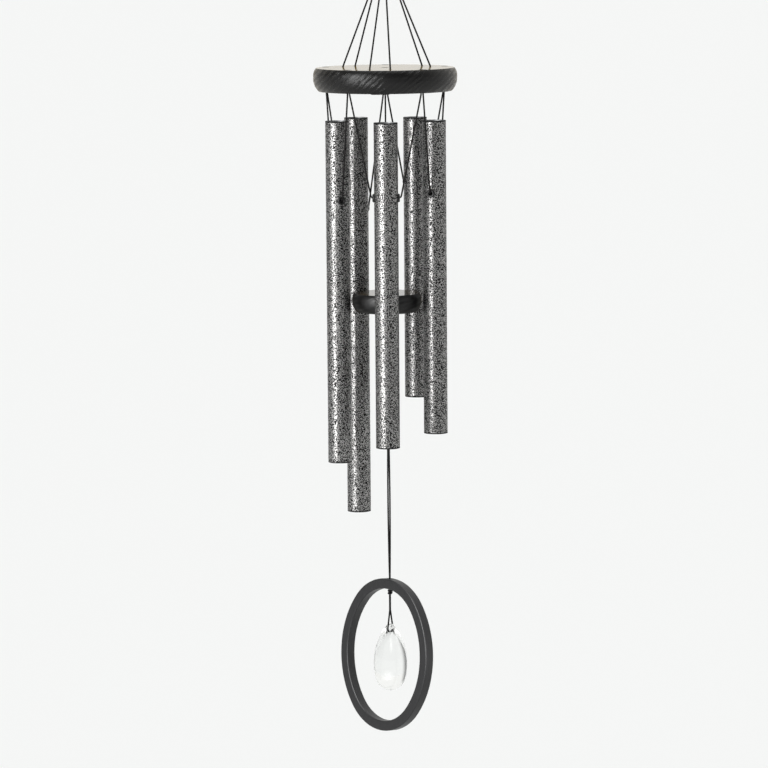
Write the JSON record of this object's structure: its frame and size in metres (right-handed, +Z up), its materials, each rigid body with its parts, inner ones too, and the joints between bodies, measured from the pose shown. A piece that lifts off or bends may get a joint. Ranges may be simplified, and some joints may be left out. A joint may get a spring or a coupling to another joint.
{
  "type": "wind chime",
  "caption": "Hanging wind chime: metal tubes slung under a round wooden platform, with a wooden striker between them and an oval wooden windcatcher framing a clear glass drop.",
  "frame": {"origin": "inside top of the hanging ring, where a hook carries the chime", "axes": "+Z up; +X to the right as seen from the front; the front faces -Y; everything hangs below the origin"},
  "size_m": [0.115, 0.115, 0.645],
  "materials": {
    "wire_steel": "polished wire",
    "black_wood": "black stain, satin, open grain",
    "charcoal_wood": "smooth satin charcoal",
    "silver_vein": "silver vein powder coat",
    "black_plastic": "matte",
    "black_cord": "braided",
    "clear_glass": "polished"
  },
  "bodies": {
    "hanger": {"hanging_ring": "wire_steel"},
    "platform": {"platform": "black_wood", "tube_cord_knots": "black_cord", "suspension_cord_1": "black_cord", "suspension_cord_2": "black_cord", "suspension_cord_3": "black_cord"},
    "sling_1": {"tube_1_sling": "black_cord"},
    "tube_1": {"tube_1": "silver_vein", "tube_1_grommets": "black_plastic"},
    "sling_2": {"tube_2_sling": "black_cord"},
    "tube_2": {"tube_2": "silver_vein", "tube_2_grommets": "black_plastic"},
    "sling_3": {"tube_3_sling": "black_cord"},
    "tube_3": {"tube_3": "silver_vein", "tube_3_grommets": "black_plastic"},
    "sling_4": {"tube_4_sling": "black_cord"},
    "tube_4": {"tube_4": "silver_vein", "tube_4_grommets": "black_plastic"},
    "sling_5": {"tube_5_sling": "black_cord"},
    "tube_5": {"tube_5": "silver_vein", "tube_5_grommets": "black_plastic"},
    "striker_pivot": {"striker_top_knot": "black_cord"},
    "striker": {"striker_cord": "black_cord", "striker": "black_wood"},
    "sail_pivot": {"striker_stop_knot": "black_cord"},
    "sail": {"sail_cord": "black_cord", "windcatcher_knot": "black_cord"},
    "windcatcher": {"windcatcher": "charcoal_wood"},
    "drop_cord": {"drop_cord": "black_cord"},
    "glass_drop": {"glass_drop": "clear_glass"}
  },
  "joints": [
    {"name": "platform_swing", "type": "hinge", "parent": "hanger", "child": "platform", "pos_m": [0, 0, -0.0195], "axis": [1, 0, 0], "range_deg": [-10, 10]},
    {"name": "sling_1_swing", "type": "hinge", "parent": "platform", "child": "sling_1", "pos_m": [0, -0.0405, -0.123], "axis": [-1, 0, 0], "range_deg": [-0.1, 12]},
    {"name": "tube_1_swing", "type": "hinge", "parent": "sling_1", "child": "tube_1", "pos_m": [0, -0.0405, -0.20567], "axis": [-1, 0, 0], "range_deg": [-0.1, 8]},
    {"name": "sling_2_swing", "type": "hinge", "parent": "platform", "child": "sling_2", "pos_m": [0.03852, -0.01252, -0.123], "axis": [-0.309, -0.9511, 0], "range_deg": [-0.1, 12]},
    {"name": "tube_2_swing", "type": "hinge", "parent": "sling_2", "child": "tube_2", "pos_m": [0.03852, -0.01252, -0.20383], "axis": [-0.309, -0.9511, 0], "range_deg": [-0.1, 8]},
    {"name": "sling_3_swing", "type": "hinge", "parent": "platform", "child": "sling_3", "pos_m": [0.0238, 0.03277, -0.123], "axis": [0.809, -0.5878, 0], "range_deg": [-0.1, 12]},
    {"name": "tube_3_swing", "type": "hinge", "parent": "sling_3", "child": "tube_3", "pos_m": [0.0238, 0.03277, -0.19831], "axis": [0.809, -0.5878, 0], "range_deg": [-0.1, 8]},
    {"name": "sling_4_swing", "type": "hinge", "parent": "platform", "child": "sling_4", "pos_m": [-0.0238, 0.03277, -0.123], "axis": [0.809, 0.5878, 0], "range_deg": [-0.1, 12]},
    {"name": "tube_4_swing", "type": "hinge", "parent": "sling_4", "child": "tube_4", "pos_m": [-0.0238, 0.03277, -0.21993], "axis": [0.809, 0.5878, 0], "range_deg": [-0.1, 8]},
    {"name": "sling_5_swing", "type": "hinge", "parent": "platform", "child": "sling_5", "pos_m": [-0.03852, -0.01252, -0.123], "axis": [-0.309, 0.9511, 0], "range_deg": [-0.1, 12]},
    {"name": "tube_5_swing", "type": "hinge", "parent": "sling_5", "child": "tube_5", "pos_m": [-0.03852, -0.01252, -0.20912], "axis": [-0.309, 0.9511, 0], "range_deg": [-0.1, 8]},
    {"name": "striker_swing_front_back", "type": "hinge", "parent": "platform", "child": "striker_pivot", "pos_m": [0, 0, -0.10728], "axis": [1, 0, 0], "range_deg": [-0.5, 0.5]},
    {"name": "striker_swing_side", "type": "hinge", "parent": "striker_pivot", "child": "striker", "pos_m": [0, 0, -0.10728], "axis": [0, 1, 0], "range_deg": [-0.5, 0.5]},
    {"name": "sail_swing_front_back", "type": "hinge", "parent": "striker", "child": "sail_pivot", "pos_m": [0, 0, -0.30268], "axis": [1, 0, 0], "range_deg": [-8, 8]},
    {"name": "sail_swing_side", "type": "hinge", "parent": "sail_pivot", "child": "sail", "pos_m": [0, 0, -0.30268], "axis": [0, 1, 0], "range_deg": [-8, 8]},
    {"name": "windcatcher_spin", "type": "hinge", "parent": "sail", "child": "windcatcher", "pos_m": [0.00063, 0.00057, -0.5221], "axis": [0, 0, 1], "continuous": true},
    {"name": "drop_swing", "type": "hinge", "parent": "sail", "child": "drop_cord", "pos_m": [0.00063, 0.00057, -0.52888], "axis": [0.9659, -0.2588, 0], "range_deg": [-10, 10]},
    {"name": "drop_rock", "type": "hinge", "parent": "drop_cord", "child": "glass_drop", "pos_m": [0.00063, 0.00057, -0.5604], "axis": [0.2588, 0.9659, 0], "range_deg": [-10, 10]}
  ]
}
